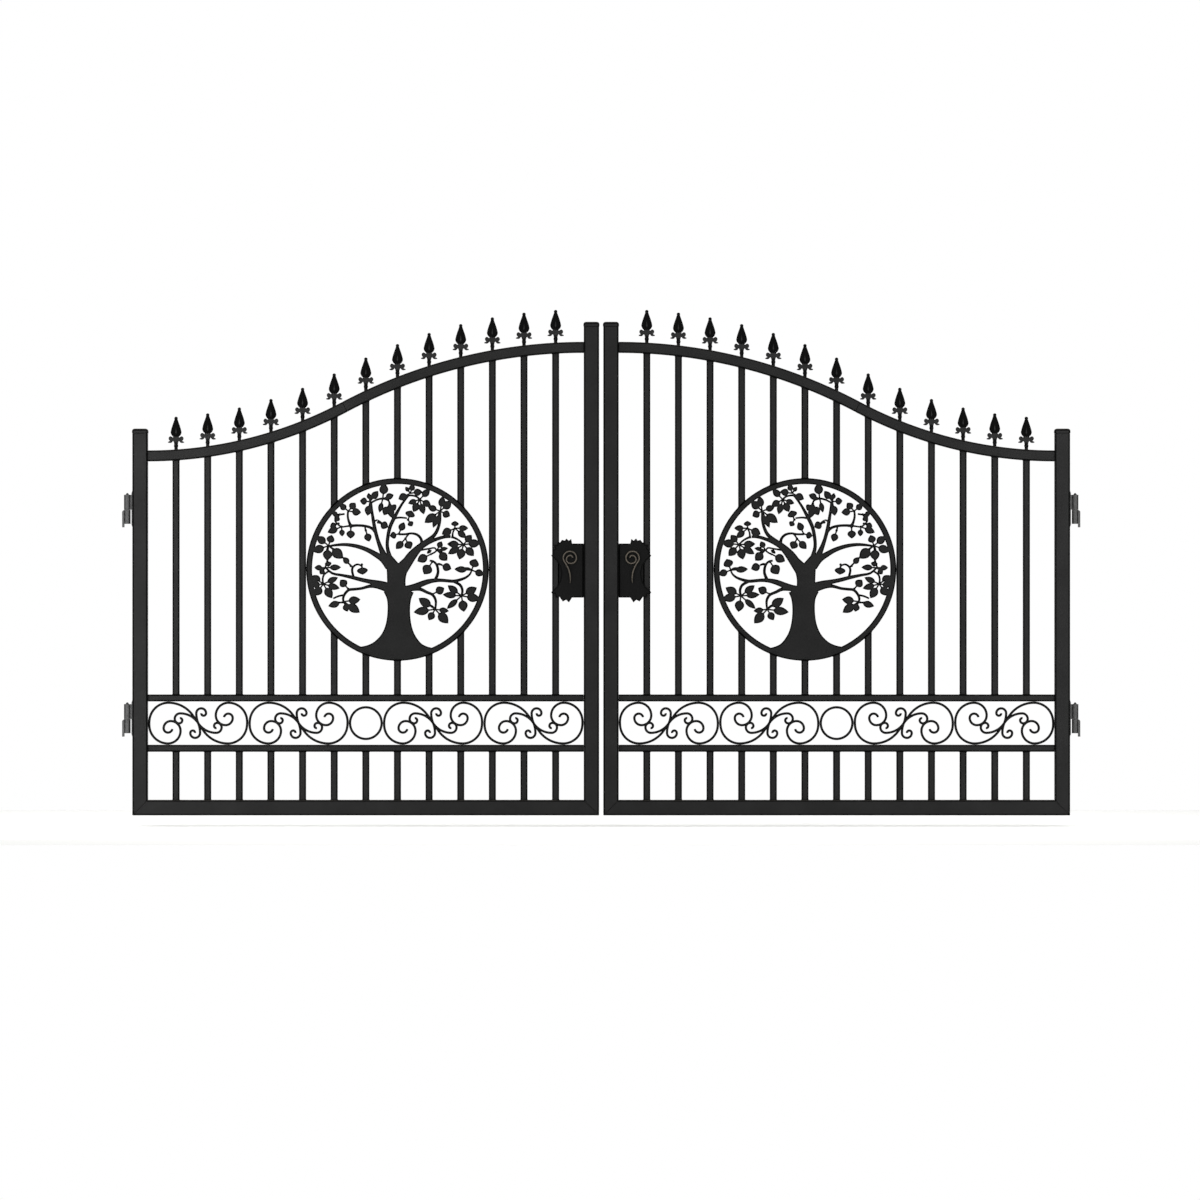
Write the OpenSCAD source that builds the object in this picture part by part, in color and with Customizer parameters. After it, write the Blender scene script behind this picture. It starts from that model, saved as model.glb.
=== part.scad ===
// Double swing driveway gate. Two mirrored leaves of square steel tube carry an S-swept top rail,
// spear finials, a tree medallion cut from plate, a frieze of S-scrolls, a lock plate and barrel hinges.
// The origin is the middle of the flat outer face of the left lower hinge's post plate.
// +X runs along the gate to the right, +Y away from its front, +Z up. All sizes are in millimetres.

/* [Leaf] */
// Width of one leaf over its two stiles
leaf_w = 2124; // [2000:1:2300]
// Gap between the two meeting stiles
middle_gap = 19; // [12:1:40]
// Height of the hinge stile under its cap
hinge_stile_h = 1739; // [1680:1:1820]
// Height of the meeting stile under its cap
meeting_stile_h = 2225; // [2150:1:2300]

/* [Frame tube] */
// Side of the square tube of the stiles and the bottom rail
frame_size = 70; // [60:1:80]
// Wall of the frame tube
frame_wall = 2; // [1.5:0.5:4]
// Height of a stile cap over the tube
cap_h = 21; // [14:1:30]
// Overhang of a cap past the tube on each side
cap_over = 1.5; // [0:0.5:4]
// Rounding of a cap's upper edges
cap_round = 12; // [4:1:13]
// Depth of the plug under a cap
cap_plug = 18; // [10:1:40]

/* [Top rail] */
// Side of the top rail's square tube
top_rail_size = 50; // [40:1:60]
// Wall of the top rail's tube
top_rail_wall = 2; // [1.5:0.5:4]
// Height of the hinge stile's top over the middle of the top rail
hinge_stile_over = 103; // [60:1:150]
// Height of the meeting stile's top over the middle of the top rail
meeting_stile_over = 95; // [60:1:150]
// Run of the lower sweep from the hinge stile to the seam with the upper sweep
seam_run = 896; // [800:1:1000]

/* [Pickets] */
// Number of pickets in a leaf
picket_count = 13; // [12:1:14]
// Side of a picket's square tube
picket_size = 32; // [24:1:40]
// Wall of a picket and of a frieze rail
picket_wall = 1.5; // [1:0.5:3]
// Height of a finial over the top rail
finial_h = 149.5; // [130:0.5:170]
// Thickness of a finial's leaves, front to back
finial_leaf_t = 11; // [8:1:16]

/* [Frieze] */
// Height of the lower frieze rail's underside over the ground
frieze_z = 289; // [250:1:330]
// Clear height between the two frieze rails
frieze_h = 197; // [185:1:210]
// Side of a frieze rail's square tube
frieze_rail_size = 32; // [24:1:40]
// Width of a scroll's bar, seen from the front
scroll_bar = 11; // [8:1:14]
// Depth of a scroll's bar, front to back
scroll_depth = 14; // [8:1:24]
// Straight stretch from the middle of a scroll to its first bend
scroll_straight = 42; // [36:1:60]
// Outer diameter of the frieze ring
frieze_ring_d = 155; // [130:1:175]

/* [Tree medallion] */
// Number of the picket that the medallion is centred on, counted from the hinge stile
medallion_picket = 8; // [7:1:9]
// Height of the medallion's middle over the ground
medallion_z = 1119; // [1080:1:1160]
// Width of the medallion's ring
medallion_band = 27; // [20:1:36]
// Thickness of the medallion's plate
medallion_t = 8; // [4:1:12]
// Radius of the fillets between twigs, leaves and ring
tree_fillet = 1.6; // [1:0.1:2.5]

/* [Lock plate] */
// Height of the lock plate's middle over the ground
lock_z = 1114; // [1050:1:1180]
// Reach of the lock plate from the meeting stile
lock_w = 148; // [130:1:165]
// Height of the lock plate's edge on the meeting stile
lock_h = 246; // [210:1:280]
// Thickness of the lock plate
lock_t = 6; // [4:1:10]
// Diameter of the curled rod on the lock plate
curl_d = 9.5; // [6:0.5:10]

/* [Hinges] */
// Height of the lower hinge's parting line over the ground
lower_hinge_z = 438; // [400:1:480]
// Height of the upper hinge's parting line over the ground
upper_hinge_z = 1391; // [1340:1:1440]
// Distance of the pin's axis from the hinge stile
pin_offset = 24; // [23:0.5:27]
// Radius of a hinge barrel
barrel_r = 15; // [13:0.5:15]
// Radius of the hinge pin
pin_r = 8; // [6:0.5:9]
// Radial play between pin and upper barrel
pin_play = 0.05; // [0.02:0.01:0.1]
// Length of the upper barrel
upper_barrel_h = 68; // [55:1:72]
// Length of the lower barrel
lower_barrel_h = 64; // [55:1:72]
// Thickness of the plate on the stile
stile_plate_t = 4; // [3:0.5:4]
// Width of the plate on the stile, front to back
stile_plate_w = 36; // [30:1:40]
// Thickness of the plate that goes on the post
post_plate_t = 10; // [8:0.5:14]
// Width of the plate that goes on the post, front to back
post_plate_w = 30; // [24:1:30]

/* [Hidden] */
weld_gap = 0.2;
barrel_gap = 0.5;
pin_head = 8;
hinge_web_w = 14;
stile_plate_top = 87;
stile_plate_foot = 80;
stile_plate_taper = 12;
post_plate_top = 2;
post_plate_foot = 80;
post_plate_bevel = 6;
barrel_overlap = 2;
black = "#2d2c2c";
arc_sag = scroll_bar / 30;
limb_steps = 3;
finial_steps = 2;

// Leaf, top rail and picket layout
inner_w = leaf_w - 2 * frame_size;
low_z = hinge_stile_h - hinge_stile_over;
high_z = meeting_stile_h - meeting_stile_over;
rail_turn = 2 * atan((high_z - low_z) / inner_w);
low_r = seam_run / sin(rail_turn);
high_r = (inner_w - seam_run) / sin(rail_turn);
low_centre = [frame_size, low_z + low_r];
high_centre = [leaf_w - frame_size, high_z - high_r];
picket_pitch = (inner_w - picket_count * picket_size) / (picket_count + 1) + picket_size;
frieze_top_z = frieze_z + 2 * frieze_rail_size + frieze_h;
frieze_mid_z = frieze_z + frieze_rail_size + frieze_h / 2;

// The medallion fills three picket gaps on each side of its own picket
ring_reach = 3;
ring_r = ring_reach * picket_pitch - picket_size / 2 - weld_gap;
medallion_x = picket_x(medallion_picket);
drawn_ring_r = 388;
tree_scale = (ring_r - medallion_band) / drawn_ring_r;

// Post face, gate middle and mount height
post_face = pin_offset + barrel_r - barrel_overlap + post_plate_t;
gate_middle = post_face + leaf_w + middle_gap / 2;
post_face_mid = -(post_plate_top + post_plate_bevel + post_plate_foot) / 2;
mount_z = lower_hinge_z + post_face_mid;

// Tree, drawn about the ring's middle for a ring of drawn_ring_r inside.
// Trunk edges, as points of smooth curves from the ground up and down again
trunk_left_foot = [
    [-176, -352], [-140, -345], [-105, -328], [-72, -293], [-52, -244], [-45, -184], [-48, -135], [-62, -104]
];
trunk_left_fork = [[-47, -62], [-48, -25], [-51, 12], [-62, 40], [-90, 64]];
trunk_crotches = [[-62, 66], [-43, 48], [-25, 62], [4, 29], [45, 66]];
trunk_right_fork = [[95, 90], [62, 50], [47, -1], [37, -44], [38, -88]];
trunk_right_foot = [
    [74, -105], [62, -135], [57, -184], [62, -244], [77, -293], [105, -333], [132, -349], [158, -356]
];
trunk_ground = [[150, -375], [0, -400], [-165, -370]];

// Limbs and twigs: each point is [x, z, width]
limbs = [
    // low arch to the left
    [[-38, 11, 36], [-66, 46, 30], [-102, 70, 25], [-139, 90, 21], [-187, 106, 18], [-236, 113, 15],
     [-278, 111, 12], [-312, 106, 9]],
    // tall limb to the upper left, with its side branch and twigs
    [[-32, 11, 36], [-57, 54, 32], [-78, 102, 21], [-91, 139, 17], [-102, 181, 17], [-111, 230, 15],
     [-117, 272, 12], [-120, 305, 10]],
    [[-99, 166, 13], [-118, 188, 13], [-151, 198, 12], [-187, 200, 12], [-211, 200, 14], [-222, 222, 11],
     [-226, 245, 10], [-224, 266, 9]],
    [[-211, 199, 11], [-232, 196, 8], [-254, 194, 8], [-272, 206, 8], [-284, 225, 8], [-270, 246, 8],
     [-240, 252, 9]],
    [[-120, 303, 9], [-95, 316, 9], [-67, 322, 10], [-40, 312, 9], [-36, 290, 9]],
    [[-107, 216, 9], [-94, 224, 8], [-78, 216, 8], [-66, 203, 9]],
    [[-148, 196, 8], [-146, 184, 8], [-142, 170, 8]],
    // middle limb with its side twig
    [[-14, 5, 30], [-34, 54, 22], [-46, 102, 16], [-44, 145, 16], [-34, 193, 17], [-14, 236, 17],
     [13, 285, 12], [35, 318, 11], [58, 346, 10]],
    [[-11, 233, 10], [13, 236, 9], [43, 233, 8]],
    [[46, 336, 9], [68, 336, 9], [88, 330, 9], [101, 318, 10]],
    // big limb to the right, with its upright, its arch, its curl and its twig
    [[13, -13, 55], [38, 23, 49], [68, 66, 43], [105, 105, 30], [141, 133, 22], [168, 157, 17],
     [184, 187, 15], [193, 224, 13], [194, 265, 10]],
    [[99, 96, 22], [141, 122, 18], [184, 140, 16], [220, 149, 15], [252, 146, 11], [280, 132, 9],
     [300, 113, 8]],
    [[250, 146, 10], [252, 168, 8], [261, 187, 8]],
    [[111, 114, 16], [107, 139, 13], [89, 158, 12], [62, 164, 10], [36, 160, 10], [6, 160, 10]],
    [[50, 160, 9], [42, 150, 8], [36, 138, 8]],
    [[103, 88, 10], [141, 94, 8], [168, 98, 8], [180, 86, 8], [205, 80, 8]],
    [[180, 88, 8], [166, 76, 8], [146, 68, 9]],
    // low limb to the left, its fork, its curl and the leaf chains
    [[-40, -80, 40], [-78, -66, 30], [-126, -55, 21], [-163, -47, 19], [-206, -36, 17], [-254, -26, 13],
     [-297, -17, 11], [-328, 10, 9]],
    [[-40, -86, 40], [-90, -76, 24], [-126, -76, 16], [-163, -86, 13], [-199, -90, 13], [-221, -93, 13],
     [-239, -111, 12], [-247, -132, 11], [-244, -150, 9]],
    [[-199, -36, 11], [-206, -7, 11], [-202, 11, 10], [-184, 23, 9], [-166, 18, 8], [-160, 8, 8]],
    [[-203, 9, 9], [-224, 30, 8], [-246, 52, 8], [-270, 78, 8], [-313, 108, 8]],
    [[-328, 10, 8], [-319, 42, 8], [-324, 74, 8], [-316, 106, 8]],
    [[-316, -10, 9], [-334, -24, 9], [-340, -46, 9], [-337, -66, 9]],
    [[-244, -116, 9], [-270, -122, 9], [-292, -132, 8]],
    [[-244, -150, 9], [-262, -150, 8], [-292, -146, 8]],
    // low limb to the right, its rising curl and its two hanging twigs
    [[5, -100, 46], [50, -88, 33], [84, -76, 28], [127, -59, 25], [160, -51, 20], [196, -49, 16],
     [232, -52, 15], [258, -53, 15], [290, -45, 13], [313, -35, 11], [330, -20, 9], [337, -3, 8]],
    [[171, -48, 15], [184, -16, 13], [180, 17, 12], [164, 36, 10], [146, 40, 9]],
    [[176, 22, 8], [188, 26, 8], [204, 20, 8]],
    [[252, -53, 13], [284, -70, 13], [295, -95, 12], [291, -120, 10]],
    [[60, -86, 26], [102, -89, 17], [132, -103, 14], [159, -115, 13], [173, -138, 12], [174, -162, 10],
     [171, -184, 9]],
    [[337, -3, 8], [322, 6, 8], [300, 6, 8]],
    [[171, -181, 8], [160, -168, 8], [145, -160, 8]]
];

// Leaf sprays: the node that the leaves grow from, then the tip [x, z] and width of each leaf
sprays = [
    [[-125, 308], [[-171, 312, 31], [-132, 348, 20], [-136, 244, 33], [-88, 357, 30]]],
    [[-67, 322], [[-59, 392, 38], [-17, 339, 28], [-82, 258, 22]]],
    [[-36, 300], [[-9, 268, 34], [-62, 246, 34], [-26, 234, 30]]],
    [[-88, 214], [[-42, 192, 34]]],
    [[-223, 265], [[-191, 303, 32], [-165, 259, 32], [-262, 296, 28]]],
    [[-262, 250], [[-297, 252, 24], [-283, 218, 26]]],
    [[-268, 208], [[-307, 193, 28]]],
    [[-254, 194], [[-251, 150, 24], [-318, 168, 30]]],
    [[-212, 192], [[-213, 140, 36]]],
    [[-144, 178], [[-128, 126, 32]]],
    [[-313, 108], [[-366, 150, 34], [-386, 82, 36], [-321, 40, 40], [-247, 50, 44], [-298, 157, 34]]],
    [[-318, 46], [[-313, 12, 28]]],
    [[-212, 16], [[-247, 56, 26]]],
    [[-162, 22], [[-158, -24, 46]]],
    [[-328, 8], [[-378, 8, 24], [-256, 10, 26], [-352, -22, 26]]],
    [[-337, -66], [[-391, -28, 34], [-390, -72, 30], [-375, -119, 36], [-297, -131, 36], [-270, -36, 26],
        [-262, -86, 28]]],
    [[-224, -88], [[-260, -47, 36]]],
    [[-244, -146], [[-168, -136, 34], [-171, -196, 37], [-227, -192, 28], [-315, -167, 29]]],
    [[58, 346], [[72, 388, 26], [36, 376, 18], [4, 319, 33], [113, 354, 31]]],
    [[101, 318], [[147, 366, 30], [48, 300, 24], [72, 261, 32], [120, 250, 28], [152, 288, 30]]],
    [[194, 265], [[207, 334, 30], [244, 310, 37], [137, 286, 28], [239, 242, 33], [123, 212, 37],
        [161, 189, 26]]],
    [[48, 226], [[64, 268, 42], [67, 196, 26]]],
    [[6, 162], [[30, 215, 30], [-34, 151, 30]]],
    [[36, 140], [[-7, 93, 32], [60, 93, 37]]],
    [[261, 187], [[261, 221, 32], [322, 188, 26], [201, 160, 36], [312, 143, 28]]],
    [[300, 113], [[225, 116, 31], [229, 70, 30], [281, 45, 37], [347, 61, 35], [378, 122, 36],
        [337, 157, 32]]],
    [[180, 88], [[201, 128, 26], [226, 40, 38], [230, 97, 18]]],
    [[152, 70], [[90, 37, 38], [139, 88, 24]]],
    [[158, 34], [[120, -22, 44]]],
    [[190, 24], [[245, 2, 35]]],
    [[337, -3], [[356, 48, 42], [258, 2, 28], [393, -24, 31]]],
    [[291, -120], [[228, -72, 30], [205, -114, 28], [361, -82, 36], [376, -134, 37], [302, -193, 40],
        [224, -179, 26]]],
    [[160, -112], [[213, -84, 36]]],
    [[171, -181], [[96, -130, 38], [73, -194, 36], [142, -231, 32], [231, -245, 41], [234, -189, 25]]]
];
spray_node_r = 6;
leaf_stem_w = 7;
leaf_swell = 1.1;
leaf_stem_share = 0.25;
leaf_steps = 6;
leaf_skew = 0.85;

// Lock plate outline for a plate of 148 by 246, from the stile's face and the plate's middle
drawn_lock = [148, 246];
lock_points = [
    [0, 123], [-53, 123], [-57, 144], [-68, 136], [-79, 146], [-86, 136], [-99, 140], [-108, 127],
    [-116, 132], [-120, 117], [-135, 118], [-130, 99], [-143, 91], [-138, 78], [-148, 69], [-143, 61],
    [-124, 46], [-109, 21], [-102, -11], [-107, -44], [-120, -72],
    [-148, -98], [-143, -107], [-130, -106], [-127, -124], [-110, -120], [-95, -141], [-80, -133],
    [-67, -145], [-53, -123], [0, -123]
];
// Lug behind the plate, between its hollow edge and the last picket
lock_lug_z = -14;
lock_lug_h = 84;
lock_lug_share = 0.6;
// Rod of the lock plate: where its tail starts, its heading, its sides and its chain of [radius, turn]
curl_start = [-62, -57];
curl_heading = 82;
rod_sides = 8;
curl_arcs = [[130, 45], [30, -220], [25, -110], [18, -150], [11, -110]];

// Width and height of the cell that the scroll is drawn for, and its bars as chains of
// [share of the loop's radius, turn]
drawn_cell = [457.25, 197];
loop_arcs = [[0.94, 80], [1.45, 16], [0.915, 84], [0.62, 90], [0.48, 90], [0.35, 90], [0.215, 170]];
inner_heading = 123;
inner_arcs = [[1.05, 57], [0.27, 90], [0.22, 90], [0.15, 90], [0.105, 100]];
hook_heading = 112;
hook_arcs = [[1.28, -22], [0.245, -90], [0.235, -90], [0.125, -90], [0.105, -100]];
weld_fillet = 1.5;

// Finial outline at its drawn height: the leaves from the middle outwards and back, and the spear's
// half-widths by height
drawn_finial_h = 149.5;
finial_leaves = [
    [0, 63], [9, 60], [15, 55], [20, 58], [26, 60], [32, 56], [34, 49], [31, 42], [28, 39], [34, 36],
    [37, 34], [36, 31], [31, 30], [25, 29.5], [19, 32], [14, 38], [11, 35], [9, 28], [7.5, 21], [0, 21]
];
finial_spear = [
    [53, 8], [60, 15.5], [67, 21.3], [77, 24.8], [87, 23.2], [98, 20.4], [110, 16.5], [122, 12.2], [133, 8.4],
    [141, 5.5]
];
// Both faces of the spear rise from its edge to a narrow ridge, or to a flat where it is wide
spear_slope = 0.5;
spear_flat_y = 9.6;
spear_ridge = 0.4;
finial_ball_r = 8;
finial_stem = [[0, -14], [8, -14], [8, 10], [10, 17], [8, 23], [7, 33], [0, 33]];

function flip(points) = [for (i = [len(points) - 1 : -1 : 0]) points[i]];

function picket_x(number) = frame_size + (number - 0.5) * picket_pitch
    + (inner_w - picket_count * picket_pitch) / 2;

function on_low_sweep(x) = x < frame_size + seam_run;

// Height of the top rail's upper face at x
function rail_top(x) = on_low_sweep(x)
    ? low_centre[1] - sqrt(pow(low_r - top_rail_size / 2, 2) - pow(x - low_centre[0], 2))
    : high_centre[1] + sqrt(pow(high_r + top_rail_size / 2, 2) - pow(high_centre[0] - x, 2));

// Points along tangent arcs: each step turns left, or right where its turn is negative
function arc_chain(p, heading, steps, i = 0) =
    i == len(steps) ? [p] :
    let (
        r = steps[i][0],
        turn = steps[i][1],
        centre = p + r * sign(turn) * [-sin(heading), cos(heading)],
        from = heading - sign(turn) * 90,
        count = ceil(abs(turn) / (2 * acos(1 - arc_sag / r)))
    )
    concat(
        [for (k = [0 : count - 1]) centre + r * [cos(from + turn * k / count), sin(from + turn * k / count)]],
        arc_chain(centre + r * [cos(from + turn), sin(from + turn)], heading + turn, steps, i + 1)
    );

function scaled_arcs(steps, r) = [for (s = steps) [s[0] * r, s[1]]];

// A half path and its point reflection, as one path through the origin
function both_ways(half) = concat([for (i = [len(half) - 1 : -1 : 1]) -half[i]], half);

// Smooth curve through points, with a number of steps between each two
function spline(points, steps) = let (last = len(points) - 1) concat(
    [for (i = [0 : last - 1], k = [0 : steps - 1]) let (
        a = points[max(i - 1, 0)],
        b = points[i],
        c = points[i + 1],
        d = points[min(i + 2, last)],
        t = k / steps
    ) b + (c - a) * t / 2 + (2 * a - 5 * b + 4 * c - d) * pow(t, 2) / 2 + (3 * b - a - 3 * c + d) * pow(t, 3) / 2],
    [points[last]]
);

// Unit normal to the left of a path at point i
function path_normal(path, i) = let (
    a = path[max(i - 1, 0)],
    b = path[min(i + 1, len(path) - 1)],
    along = [b[0] - a[0], b[1] - a[1]]
) [-along[1], along[0]] / norm(along);

// Outline of a path with the width given at each point
function band(path, widths) = let (
    sides = [for (s = [1, -1]) [for (i = [0 : len(path) - 1])
        [path[i][0], path[i][1]] + s * widths[i] / 2 * path_normal(path, i)]]
) concat(sides[0], flip(sides[1]));

function even_band(path, w) = band(path, [for (p = path) w]);

// A pointed oval leaf from its base to its tip, widest nearer the base
function leaf_outline(base, tip, w) = let (
    along = tip - base,
    across = [-along[1], along[0]] / norm(along),
    half = [for (k = [0 : leaf_steps]) let (t = k / leaf_steps)
        [t, w / 2 * pow(sin(180 * pow(t, leaf_skew)), leaf_skew)]]
) concat(
    [for (h = half) base + along * h[0] + across * h[1]],
    [for (k = [leaf_steps - 1 : -1 : 1]) base + along * half[k][0] - across * half[k][1]]
);

// Puts a drawing of x and z upright, as a plate of thickness t about the leaf's middle plane
module upright(t) {
    rotate([90, 0, 0])
        linear_extrude(height = t, center = true)
            children();
}

// A cylinder through the leaf, for coping tube ends to a curve
module cope(centre, r) {
    translate([centre[0], 0, centre[1]])
        rotate([90, 0, 0])
            cylinder(r = r, h = 2 * frame_size, center = true, $fn = 720);
}

// Square tube along X, Y or Z, open at its ends
module tube(size, wall, length) {
    linear_extrude(height = length)
        difference() {
            square(size, center = true);
            square(size - 2 * wall, center = true);
        }
}

module rail_tube(size, wall, z) {
    translate([frame_size + weld_gap, 0, z + size / 2])
        rotate([0, 90, 0])
            tube(size, wall, inner_w - 2 * weld_gap);
}

// Frame of a leaf
module stile(h) {
    color(black)
        difference() {
            upright(frame_size)
                polygon([[0, 0], [frame_size, frame_size], [frame_size, h], [0, h]]);
            translate([frame_wall, frame_wall - frame_size / 2, -frame_size])
                cube([frame_size - 2 * frame_wall, frame_size - 2 * frame_wall, h + 2 * frame_size]);
        }
}

module hinge_stile() {
    stile(hinge_stile_h);
}

module meeting_stile() {
    translate([leaf_w, 0, 0])
        mirror([1, 0, 0])
            stile(meeting_stile_h);
}

// Side view of a cap: square below, round at both upper corners
module cap_profile(w) {
    translate([-w / 2, 0])
        square([w, cap_h - cap_round]);
    translate([cap_round - w / 2, 0])
        square([w - 2 * cap_round, cap_h]);
    for (s = [-1, 1])
        translate([s * (w / 2 - cap_round), cap_h - cap_round])
            circle(r = cap_round, $fn = 48);
}

module stile_cap(x, h) {
    w = frame_size + 2 * cap_over;
    plug = frame_size - 2 * frame_wall - 2 * weld_gap;
    color(black)
        translate([x, 0, h + weld_gap]) {
            intersection() {
                upright(w)
                    cap_profile(w);
                rotate([0, 0, 90])
                    upright(w)
                        cap_profile(w);
            }
            translate([-plug / 2, -plug / 2, -cap_plug])
                cube([plug, plug, cap_plug + cap_h / 2]);
        }
}

module hinge_stile_cap() {
    stile_cap(frame_size / 2, hinge_stile_h);
}

module meeting_stile_cap() {
    stile_cap(leaf_w - frame_size / 2, meeting_stile_h);
}

module bottom_rail() {
    inner = frame_size - 2 * frame_wall;
    color(black)
        difference() {
            upright(frame_size)
                polygon([
                    [2 * weld_gap, 0], [leaf_w - 2 * weld_gap, 0],
                    [leaf_w - frame_size - 2 * weld_gap, frame_size], [frame_size + 2 * weld_gap, frame_size]
                ]);
            translate([-frame_size, -inner / 2, frame_wall])
                cube([leaf_w + 2 * frame_size, inner, inner]);
        }
}

// One arc of the top rail about its centre, from one angle by a turn
module swept_rail(centre, r, from, turn) {
    color(black)
        translate([centre[0], 0, centre[1]])
            rotate([90, 0, 0])
                rotate_extrude(angle = turn, start = from, $fn = 720)
                    translate([r, 0])
                        difference() {
                            square(top_rail_size, center = true);
                            square(top_rail_size - 2 * top_rail_wall, center = true);
                        }
}

module top_rail_lower_sweep() {
    weld_turn = weld_gap / low_r * 180 / PI;
    swept_rail(low_centre, low_r, 270 + weld_turn, rail_turn - weld_turn);
}

module top_rail_upper_sweep() {
    weld_turn = weld_gap / high_r * 180 / PI;
    swept_rail(high_centre, high_r, 90 + weld_turn, rail_turn - weld_turn);
}

module frieze_upper_rail() {
    color(black)
        rail_tube(frieze_rail_size, picket_wall, frieze_z + frieze_rail_size + frieze_h);
}

module frieze_lower_rail() {
    color(black)
        rail_tube(frieze_rail_size, picket_wall, frieze_z);
}

// Pickets
module short_pickets() {
    foot = frame_size + weld_gap;
    color(black)
        for (n = [1 : picket_count])
            translate([picket_x(n), 0, foot])
                tube(picket_size, picket_wall, frieze_z - weld_gap - foot);
}

// Keeps what lies under the top rail at x
module under_top_rail(x) {
    if (on_low_sweep(x))
        difference() {
            children();
            cope(low_centre, low_r + top_rail_size / 2 + weld_gap);
        }
    else
        intersection() {
            children();
            cope(high_centre, high_r - top_rail_size / 2 - weld_gap);
        }
}

// Picket blank from one height to another: the end at the medallion is closed by an end plate
module ring_picket(x, from, to) {
    inner = picket_size - 2 * picket_wall;
    ring_centre = [medallion_x, medallion_z];
    difference() {
        translate([x - picket_size / 2, -picket_size / 2, from])
            cube([picket_size, picket_size, to - from]);
        difference() {
            translate([x - inner / 2, -inner / 2, from - picket_size])
                cube([inner, inner, to - from + 2 * picket_size]);
            cope(ring_centre, ring_r + weld_gap + picket_wall);
        }
        cope(ring_centre, ring_r + weld_gap);
    }
}

module long_pickets() {
    foot = frieze_top_z + weld_gap;
    color(black)
        for (n = [1 : picket_count]) {
            x = picket_x(n);
            if (abs(n - medallion_picket) < ring_reach) {
                ring_picket(x, foot, medallion_z);
                under_top_rail(x)
                    ring_picket(x, medallion_z, rail_top(x));
            } else {
                under_top_rail(x)
                    translate([x, 0, foot])
                        tube(picket_size, picket_wall, rail_top(x) - foot);
            }
        }
}

// Finials
module spear_blade() {
    sides = 6;
    levels = [for (s = finial_spear) let (
        z = s[0],
        edge = s[1],
        flat = max(edge - spear_flat_y / spear_slope, spear_ridge),
        y = spear_slope * (edge - flat)
    ) [[edge, 0, z], [flat, y, z], [-flat, y, z], [-edge, 0, z], [-flat, -y, z], [flat, -y, z]]];
    points = [for (ring = levels) each ring];
    last = sides * (len(levels) - 1);
    walls = [for (i = [0 : len(levels) - 2], k = [0 : sides - 1])
        let (a = sides * i + k, b = sides * i + (k + 1) % sides)
        each [[a, a + sides, b], [b, a + sides, b + sides]]];
    foot = [for (k = [0 : sides - 1]) k];
    tip = [for (k = [sides - 1 : -1 : 0]) last + k];
    polyhedron(points, concat([foot], walls, [tip]));
}

// Keeps what lies over the top rail at x
module over_top_rail(x) {
    if (on_low_sweep(x))
        intersection() {
            children();
            cope(low_centre, low_r - top_rail_size / 2 - weld_gap);
        }
    else
        difference() {
            children();
            cope(high_centre, high_r + top_rail_size / 2 + weld_gap);
        }
}

module spear_finial(x) {
    k = finial_h / drawn_finial_h;
    right_side = spline(finial_leaves, finial_steps);
    left_side = [for (p = flip(right_side)) if (p[0] > 0.01) [-p[0], p[1]]];
    over_top_rail(x)
        translate([x, 0, rail_top(x)])
            scale(k)
                rotate_extrude($fn = 32)
                    polygon(finial_stem);
    translate([x, 0, rail_top(x)])
        scale(k) {
            upright(finial_leaf_t / k)
                polygon(concat(right_side, left_side));
            spear_blade();
            translate([0, 0, drawn_finial_h - finial_ball_r])
                sphere(r = finial_ball_r, $fn = 32);
        }
}

module spear_finials() {
    color(black)
        for (n = [1 : picket_count])
            spear_finial(picket_x(n));
}

// Tree medallion
module trunk() {
    polygon(concat(
        spline(trunk_left_foot, limb_steps), spline(trunk_left_fork, limb_steps), trunk_crotches,
        spline(trunk_right_fork, limb_steps), spline(trunk_right_foot, limb_steps), trunk_ground
    ));
}

module limb(points) {
    path = spline(points, limb_steps);
    polygon(band(path, [for (p = path) p[2]]));
}

module spray(root, leaves) {
    translate(root)
        circle(r = spray_node_r, $fn = 12);
    for (leaf = leaves) {
        tip = [leaf[0], leaf[1]];
        base = root + leaf_stem_share * (tip - root);
        polygon(leaf_outline(base, tip, leaf_swell * leaf[2]));
        polygon(even_band([root, (base + tip) / 2], leaf_stem_w));
    }
}

module medallion_outline() {
    fillet = tree_fillet * tree_scale;
    offset(delta = -fillet)
        offset(delta = fillet) {
            difference() {
                circle(r = ring_r, $fn = 120);
                circle(r = ring_r - medallion_band, $fn = 120);
            }
            intersection() {
                circle(r = ring_r - medallion_band / 3, $fn = 120);
                scale(tree_scale) {
                    trunk();
                    for (points = limbs)
                        limb(points);
                    for (s = sprays)
                        spray(s[0], s[1]);
                }
            }
        }
}

module tree_medallion() {
    color(black)
        translate([medallion_x, 0, medallion_z])
            upright(medallion_t)
                medallion_outline();
}

// Frieze
scroll_cell = (inner_w - frieze_ring_d) / 4;
scroll_edge = scroll_bar / 2 + weld_gap;
// A scroll is drawn about its middle, and its path is then fitted to the cell between its neighbours
scroll_fit = [
    (scroll_cell / 2 - scroll_edge) / (drawn_cell[0] / 2 - scroll_edge),
    (frieze_h / 2 - scroll_edge) / (drawn_cell[1] / 2 - scroll_edge)
];
loop_r = drawn_cell[1] / 2 - scroll_edge;
// The loop reaches furthest out in its second arc, where it runs upright
loop_reach = loop_arcs[0][0] * sin(loop_arcs[0][1]) + loop_arcs[1][0] * (1 - sin(loop_arcs[0][1]));
loop_x = drawn_cell[0] / 2 - scroll_edge - loop_reach * loop_r;
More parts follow.
